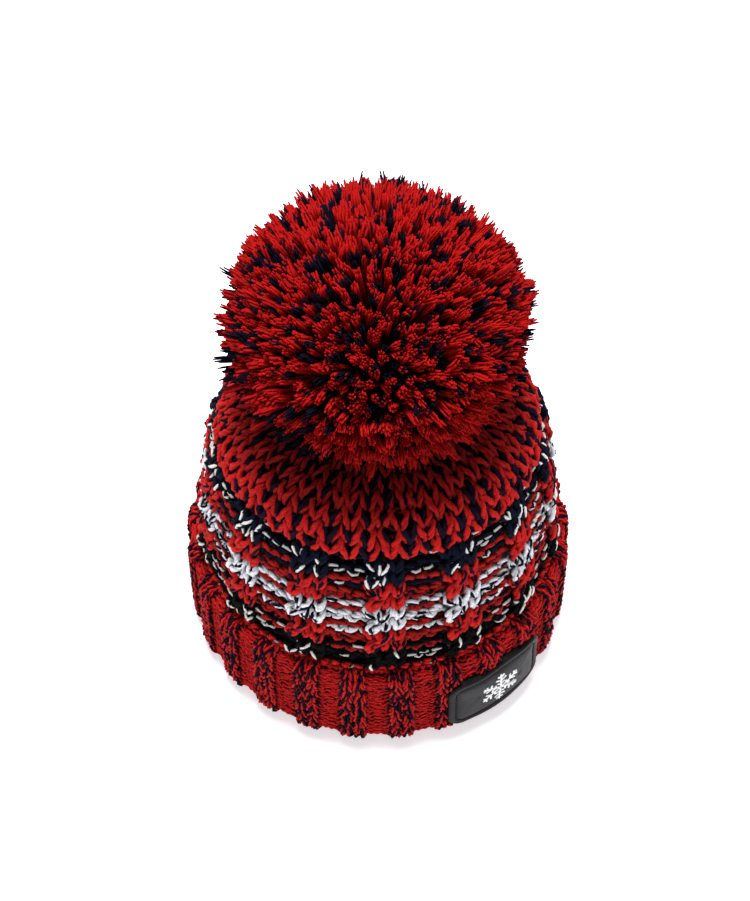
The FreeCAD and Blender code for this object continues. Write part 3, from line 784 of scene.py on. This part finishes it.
PATCH_LOW, PATCH_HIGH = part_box("patch_base")
PATCH_HALF = PATCH_HIGH.x
PATCH_MIDDLE = (PATCH_LOW.z + PATCH_HIGH.z) / 2
PATCH_RISE = (PATCH_HIGH.z - PATCH_LOW.z) / 2
PATCH_CORNER = 8 * MM
PATCH_GROOVE = 3.4 * MM  # the embossed line runs this far inside the edge
PATCH_FOOT = 1.5 * MM  # the leather's edge goes this far into the cuff
PATCH_SEAT = 0.6 * MM  # and its face is measured from this far inside
PATCH_RIPPLE, PATCH_SAG = 0.45 * MM, 0.7 * MM
# by distance from the patch's edge: height over the seat, and how light the leather is
PATCH_INSETS = np.array([0, 0.25, 0.8, 1.5, 2.4, 3.0, 3.4, 3.8, 4.6, 6.0, 8.5, 12.0, 15.5]) * MM
PATCH_LIFTS = np.array([1.5, 2.15, 2.6, 2.7, 2.65, 2.4, 2.1, 2.2, 2.65, 3.0, 3.2, 3.35, 3.4]) * MM
PATCH_SHADES = [0.2, 0.35, 0.45, 0.4, 0.3, 0.1, 0.05, 0.12, 0.7, 1.0, 1.1, 1.2, 1.2]
STITCH_PITCH, STITCH_SHARE, STITCH_RADIUS = 2.6 * MM, 0.78, 0.3 * MM


def patch_outline(inset, steps=20, straight=12):
    """Points round the patch, so far inside its edge, from the right end: two mirrored halves."""
    wide, tall, corner = PATCH_HALF - inset, PATCH_RISE - inset, max(PATCH_CORNER - inset, 0.4 * MM)
    right = arc_points((wide - corner, tall - corner), corner, 0.0, math.pi / 2, steps)
    edge = np.linspace(0.0, tall - corner, 6, endpoint=False) + 0.02 * MM
    side = np.stack([np.full(6, wide), edge], -1)
    top = np.linspace(wide - corner, corner - wide, straight + 2)[1:-1]
    upper = np.concatenate([side, right, np.stack([top, np.full(straight, tall)], -1),
                            (right * [-1, 1])[::-1], (side * [-1, 1])[::-1]])
    return np.concatenate([upper, (upper * [1, -1])[::-1]])


def patch_inset(across, up):
    """How far inside the patch's edge a point is."""
    x = np.abs(across) - (PATCH_HALF - PATCH_CORNER)
    z = np.abs(up) - (PATCH_RISE - PATCH_CORNER)
    outside = np.hypot(np.maximum(x, 0), np.maximum(z, 0))
    return PATCH_CORNER - outside - np.minimum(np.maximum(x, z), 0)


def patch_point(across, up, lift=0.0):
    """A point on the patch's face, which wraps the cuff and ripples a little, and its outward."""
    ripple = PATCH_RIPPLE * np.sin(across / (6.1 * MM) + up / (9 * MM)) * np.cos(up / (7.3 * MM))
    high = np.interp(patch_inset(across, up), PATCH_INSETS, PATCH_LIFTS) + ripple + lift
    out = heading(-math.pi / 2 + across / CUFF_RADIUS)
    points = out * (CUFF_RADIUS - PATCH_SEAT + high)[..., None]
    sag = PATCH_SAG * (np.sin(across / (4.4 * MM) + 0.8) - 1) * (up / PATCH_RISE).clip(0, 1)
    points[..., 2] = PATCH_MIDDLE + up + sag
    return points, out


def build_patch():
    rings = []
    for inset in PATCH_INSETS:
        ring = patch_outline(inset)
        rings.append(patch_point(ring[:, 0], ring[:, 1])[0])
    foot = rings[0].copy()
    foot[:, :2] = unit(foot[:, :2]) * (CUFF_RADIUS - PATCH_FOOT)
    points = len(foot)
    half = np.arange(points // 2 - 1)
    cap = np.stack([half, half + 1, points - 2 - half, points - 1 - half], -1)
    loops = np.stack([foot] + rings)
    index = numbered(loops)
    quads = np.concatenate([skin(wrap(index, 1)), cap + index[-1, 0]])
    shades = np.repeat(PATCH_SHADES[:1] + PATCH_SHADES, points)
    base = mesh_piece("patch_leather", LEATHER, loops.reshape(-1, 3), shades, quads)
    stand_in(base, "hat", "patch_base")

    line = wrap(patch_outline(PATCH_GROOVE), 0)
    place = run_length(line[None])[0]
    starts = np.arange(int(place[-1] / STITCH_PITCH)) * STITCH_PITCH
    along_line = starts[:, None] + np.linspace(0, STITCH_PITCH * STITCH_SHARE, 7)[None]
    across, up = (np.interp(along_line, place, line[:, axis]) for axis in (0, 1))
    bow = 0.35 * MM * np.sin(np.linspace(0, math.pi, 7))[None]
    paths, out = patch_point(across, up, bow - 0.05 * MM)
    # painted shade on the inward side of each stitch
    stitches = yarn("patch_stitches", paths, out, STITCH_RADIUS, 6, BLACK_THREAD, closed=False, dark=0.6)
    stand_in(stitches, "hat", "patch_stitching")
    build_snowflake()


SNOW_LOW, SNOW_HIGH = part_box("patch_emblem")
SNOW_ARM = (SNOW_HIGH.z - SNOW_LOW.z) / 2
SNOW_BARS = ((0.30, 0.22), (0.55, 0.30), (0.80, 0.2))  # where each pair of twigs leaves, and its length


def build_snowflake():
    """A generic snowflake in raised white print: six arms, each with pairs of twigs."""
    slant = np.exp(1j * TAU / 6)
    arm = [(0.06, 1)] + [(place, place + length * twig) for place, length in SNOW_BARS
                         for twig in (slant.conjugate(), slant)]
    turns = np.exp(1j * (np.arange(6) * TAU / 6 + math.pi / 6))
    ends = (turns[:, None, None] * np.array(arm)).reshape(-1, 2) * SNOW_ARM
    steps = np.linspace(0, 1, 7)
    line = ends[:, :1] * (1 - steps) + ends[:, 1:] * steps
    paths, out = patch_point(line.real, line.imag, -0.1 * MM)
    # painted shade on the inward side of the print's lines
    print_piece = yarn("patch_snowflake", paths, out, 0.52 * MM, 8, PRINT, closed=False, dark=0.9)
    stand_in(print_piece, "hat", "patch_emblem")


# ---- threads and cords

CORD_PITCH = 4 * MM


def ring_path(centre_x, radius, height, points, waves, swing):
    """A level ring that bobs up and down and in and out, as running stitches do."""
    turn = np.arange(points) * TAU / points
    out = heading(turn)
    path = out * (radius + swing * np.cos(waves * turn))[:, None] + [centre_x, 0, height]
    path[:, 2] += swing * np.sin(waves * turn)
    return path[None], out[None]


def cord(name, node_name, path, radius, closed, sides=6, plies=1, material=RED, body="hat"):
    """A thread or cord, on a pair of paths and outward directions, that stands for one CAD node."""
    # painted shade on the inward side of the thread
    piece = yarn(name, *path, radius, sides, material, closed, plies, CORD_PITCH, dark=0.45)
    stand_in(piece, body, node_name)


def knot_path(centre, wide, flat, tall, points=160):
    """A trefoil, laid flat: the shape of a simple overhand knot."""
    turn = np.arange(points) * TAU / points
    reach = wide + flat * np.cos(3 * turn)
    path = np.stack([reach * np.cos(2 * turn), reach * np.sin(2 * turn), tall * np.sin(3 * turn)], -1)
    return (path + centre)[None], unit(path)[None]


def straight_path(low, high):
    height = np.linspace(low.z, high.z, 24)
    path = np.stack([0 * height, 0 * height, height], -1)[None]
    return path, np.zeros_like(path) + [1.0, 0.0, 0.0]


# ---- lining

LINING_LOW, LINING_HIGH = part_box("lining_gore_right")
LINING_WALL = 2.5 * MM
LINING_SLOPE_TOP = BAND_FOOT[-1] - 4 * MM
LINING_SIDE_RADIUS = BAND_RADIUS[-1] - 7.45 * MM
LINING_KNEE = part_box("base_red_band")[0].z
LINING = Profile(np.concatenate([
    [(LINING_HIGH.x - LINING_WALL / 2, LINING_LOW.z), (LINING_HIGH.x - LINING_WALL / 2, LINING_KNEE)],
    crown_arcs(LINING_SIDE_RADIUS, LINING_SLOPE_TOP, LINING_HIGH.z - LINING_WALL / 2, 8.75 * MM, 2.5 * MM),
]))
GORES = {"right": 0.0, "back": 90.0, "left": 180.0, "front": 270.0}
GORE_HALF = math.radians(44.4)
FLEECE_HALF = 1.0 * MM
CLOTH_SLACK, CLOTH_MOVE, CLOTH_GRAVITY = 0.035, 1.5 * MM, 0.4
CLOTH_FRAMES = 21
SEAM_STITCH = 2.4 * MM


def relax(grid):
    """Cloth simulation of a sheet that is held all round its border: it is cut slack and settles."""
    mesh = bpy.data.meshes.new("cloth")
    mesh.from_pydata(grid.reshape(-1, 3).tolist(), [], skin(numbered(grid)).tolist())
    cloth = add_object("cloth", mesh)
    border = np.ones(grid.shape[:2], bool)
    border[1:-1, 1:-1] = False
    held = cloth.vertex_groups.new(name="held")
    held.add(np.flatnonzero(border).tolist(), 1.0, "REPLACE")
    settings = cloth.modifiers.new("cloth", "CLOTH").settings
    settings.vertex_group_mass = "held"
    settings.shrink_min = -CLOTH_SLACK
    settings.quality = 6
    settings.mass = 0.2
    settings.bending_stiffness = 0.5
    settings.effector_weights.gravity = CLOTH_GRAVITY
    for number in range(CLOTH_FRAMES):
        SCENE.frame_set(number + 1)
    settled = cloth.evaluated_get(bpy.context.evaluated_depsgraph_get()).to_mesh()
    points = np.empty(grid.size, np.float32)
    settled.vertices.foreach_get("co", points)
    SCENE.frame_set(1)
    bpy.data.objects.remove(cloth)
    moved = points.reshape(grid.shape) - grid
    far = np.linalg.norm(moved, axis=-1, keepdims=True)
    return grid + moved * np.minimum(1, CLOTH_MOVE / np.maximum(far, 1e-9))


def thick_sheet(name, grid, half, material, inner_relief=0.0):
    """A closed sheet of cloth, half thick on each side of a grid of points."""
    normal = unit(np.cross(np.gradient(grid, axis=1), np.gradient(grid, axis=0)))
    relief = 1 + inner_relief * RNG.uniform(-1, 1, grid.shape[:2] + (1,))
    verts = np.stack([grid + normal * half, grid - normal * half * relief]).reshape(-1, 3)
    index = numbered(grid)
    rim = np.concatenate([index[0, :-1], index[:-1, -1], index[-1, :0:-1], index[:0:-1, 0]])
    sides = skin(wrap(np.stack([rim, rim + index.size]), 1))
    quads = np.concatenate([skin(index)[:, ::-1], skin(index) + index.size, sides])
    return mesh_piece(name, material, verts, np.ones(len(verts)), quads)


def gore_grid(facing):
    """Mid-surface of one gore: bounded by its seams, and narrower towards the tip of the hat."""
    rows, columns = 72, 40
    s = np.linspace(0.2 * MM, LINING.length - 0.4 * MM, rows)[:, None] * np.ones(columns)
    spread = np.linspace(-1, 1, columns)[None]
    angle = math.radians(facing) + spread * GORE_HALF
    fade = np.sin(np.linspace(0, math.pi, rows))[:, None] * (1 - spread ** 2)
    ripple = 0.35 * MM * fade * np.sin(spread * 9 + s / (13 * MM) + facing)
    return LINING.place(s, angle, ripple)[0]


def build_lining():
    for side, facing in GORES.items():
        grid = gore_grid(facing)
        grid = relax(grid)
        gore = thick_sheet(f"lining_fleece_{side}", grid, FLEECE_HALF, FLEECE, 0.25)
        stand_in(gore, "hat", f"lining_gore_{side}")

    s = np.linspace(1 * MM, LINING.length - 1 * MM, 420)[None]
    seams = np.radians(45.0 + 90.0 * np.arange(4))[:, None]
    turn = s / SEAM_STITCH * TAU
    path = LINING.place(s * np.ones((4, 1)), seams + 0.004 * np.cos(turn), 0.95 * MM * np.sin(turn))
    cord("lining_seam_stitches", "lining_seam_thread", path, 0.24 * MM, False, 5, 1, BLACK_THREAD)
    low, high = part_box("lining_hem_thread")
    middle = (low + high) / 2
    path = ring_path(middle.x, high.x - 0.45 * MM, middle.z, 720, 170, 0.25 * MM)
    cord("lining_hem_stitches", "lining_hem_thread", path, 0.22 * MM, True, 5, 2, BLACK_THREAD)


# ---- care tag


def build_care_tag():
    low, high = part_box("care_tag")
    rows, columns = 25, 21
    x, z = np.meshgrid(np.linspace(low.x, high.x, columns), np.linspace(high.z, low.z, rows))
    hang = (high.z - z) / (high.z - low.z)
    y = (low.y + high.y) / 2 - 0.9 * MM * hang ** 2 - 0.5 * MM * hang * np.sin(x / (9 * MM) + 0.6)
    tag = thick_sheet("care_tag_ribbon", np.stack([x, y, z], -1), 0.14 * MM, SATIN)
    stand_in(tag, "care_tag", "care_tag")

    low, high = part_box("care_tag_stitches")
    middle, reach = (low + high) / 2, (high.x - low.x) / 2 - 0.6 * MM
    points = 90
    turn = np.linspace(0, 6 * TAU, points)
    drift = np.linspace(-0.45, 0.45, points) * MM
    paths = [np.stack([middle.x + side * reach + drift, middle.y + 0.4 * MM * np.cos(turn),
                       middle.z + 0.42 * MM * np.sin(turn)], -1) for side in (-1, 1)]
    outward = np.zeros((2, points, 3)) + [1.0, 0.0, 0.0]
    cord("care_tag_tacks", "care_tag_stitches", (np.array(paths), outward), 0.15 * MM, False, 5, 1,
         WHITE_THREAD)


# ---- seam, gathers, ties and knots


def build_ties():
    low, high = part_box("crown_drawstring")
    ring = (high.z - low.z) / 2
    path = ring_path(0.0, high.x - ring, (low.z + high.z) / 2, 160, 9, 0.35 * MM)
    cord("crown_gather_yarn", "crown_drawstring", path, ring * 0.8, True, 6, 3)

    low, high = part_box("back_seam_yarn")
    height = np.linspace(low.z + 1 * MM, high.z - 1 * MM, 500)
    knee = np.interp(height, [LINING_KNEE, high.z], [high.y, high.y - (BAND_RADIUS[0] - BAND_RADIUS[-1])])
    zigzag = 0.45 * MM * np.sin(height / (5 * MM) * TAU)
    path = np.stack([zigzag, knee - 0.3 * MM, height], -1)[None]
    outward = np.zeros_like(path) + [0.0, 1.0, 0.0]
    cord("back_seam_stitches", "back_seam_yarn", (path, outward), 0.3 * MM, False, 6, 2)

    thick = (TIE_HIGH.x - TIE_LOW.x) / 2
    out = np.roll(heading(np.arange(120) * TAU / 120), 1, axis=-1)
    wraps = [out * (TIE_HIGH.y - thick) + [shift * thick, 0, TIE_HEIGHT] for shift in (-0.6, 0, 0.6)]
    cord("pom_waist_wraps", "pom_tie_band", (np.stack(wraps), np.stack([out] * 3)), thick * 0.42,
         True, 6, 2, body="pom")
    path = straight_path(*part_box("pom_tie_tails"))
    cord("pom_tail_cord", "pom_tie_tails", path, thick * 0.8, False, 6, 2, body="tie")

    low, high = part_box("pom_base_knot")
    path = knot_path((low + high) / 2, 2.0 * MM, 0.8 * MM, 1.1 * MM)
    cord("pom_under_knot", "pom_base_knot", path, 1.0 * MM, True, 6, 2, body="base_knot")
    low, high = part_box("pom_anchor_cord")
    cord("pom_anchor_strands", "pom_anchor_cord", straight_path(low, high), high.x * 0.8, False, 6, 3)
    low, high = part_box("anchor_knot")
    path = knot_path([0.0, 0.0, (low.z + high.z) / 2], 3.4 * MM, 1.2 * MM, 1.0 * MM)
    cord("anchor_knot_yarn", "anchor_knot", path, 1.05 * MM, True, 6, 2)


# ---- stage, light, camera

FLOOR_HALF = 4.0
FLOOR_COLOUR = (0.8, 0.8, 0.82)
# the paper glows a little, and more away from the hat and its lights, so that it stays white
NEAR_GLOW, FAR_GLOW = 0.62, 0.9
NEAR_FLOOR, FAR_FLOOR = 0.5, 1.8
SKY_LIGHT, HORIZON_LIGHT = 0.3, 1.0  # the pale walls of the studio, seen above the floor
SKY_CLIMB, HORIZON_CLIMB = 0.4, 0.05  # where the two end, as the sine of the angle above level


def build_stage():
    material, tree, shader = new_material("pale_floor")
    speck = node(tree, "TexNoise", "Fac", {"Scale": 40.0, "Detail": 3.0})
    away = node(tree, "VectorMath", "Value", {0: node(tree, "TexCoord", "Object")}, operation="LENGTH")
    glow = remap(tree, away, NEAR_FLOOR, FAR_FLOOR, NEAR_GLOW, FAR_GLOW, interpolation_type="SMOOTHSTEP")
    fill(tree, shader, {
        "Base Color": two_tone(tree, speck, [c * 0.98 for c in FLOOR_COLOUR], FLOOR_COLOUR),
        "Roughness": 0.9, "Emission Color": (*FLOOR_COLOUR, 1), "Emission Strength": glow,
    })
    mesh = bpy.data.meshes.new("floor")
    corners = [(x * FLOOR_HALF, y * FLOOR_HALF, 0) for x, y in ((-1, -1), (1, -1), (1, 1), (-1, 1))]
    mesh.from_pydata(corners, [], [(0, 1, 2, 3)])
    mesh.materials.append(material)
    add_object("floor", mesh)


def soft_light(name, place, aim, size, watts):
    light = bpy.data.lights.new(name, "AREA")
    light.shape = "DISK"
    light.size = size
    light.energy = watts
    lamp = add_object(name, light)
    lamp.location = place
    lamp.rotation_euler = (Vector(aim) - Vector(place)).to_track_quat("-Z", "Y").to_euler()


def build_lights():
    world = bpy.data.worlds.new("studio")
    world.use_nodes = True
    tree = world.node_tree
    climb = node(tree, "SeparateXYZ", "Z", {0: node(tree, "TexCoord", "Generated")})
    glow = remap(tree, climb, HORIZON_CLIMB, SKY_CLIMB, HORIZON_LIGHT, SKY_LIGHT,
                 interpolation_type="SMOOTHSTEP")
    fill(tree, tree.nodes["Background"], {"Color": (1.0, 1.0, 1.0, 1), "Strength": glow})
    SCENE.world = world
    soft_light("overhead", (0.1, 0.2, 1.7), (0, 0, 0.1), 0.6, 54)
    soft_light("front_fill", (-0.9, -1.3, 1.0), (0, 0, 0.06), 0.8, 7)
    SCENE.view_settings.view_transform = "Standard"


def build_camera():
    around, up = math.radians(CAMERA_AZIMUTH), math.radians(CAMERA_ELEVATION)
    back = Vector((math.sin(around) * math.cos(up), -math.cos(around) * math.cos(up), math.sin(up)))
    camera = add_object("camera", bpy.data.cameras.new("camera"))
    camera.data.lens = CAMERA_LENS
    camera.data.shift_x, camera.data.shift_y = CAMERA_SHIFT
    camera.data.clip_start = 0.01
    camera.location = Vector((0, 0, CAMERA_AIM)) + back * CAMERA_DISTANCE
    camera.rotation_euler = back.to_track_quat("Z", "Y").to_euler()
    SCENE.camera = camera


# ---- build everything

build_camera()
build_lights()
build_stage()
build_bands()
build_ridge()
build_crown()
build_cuff()
build_pom()
build_patch()
build_lining()
build_care_tag()
build_ties()
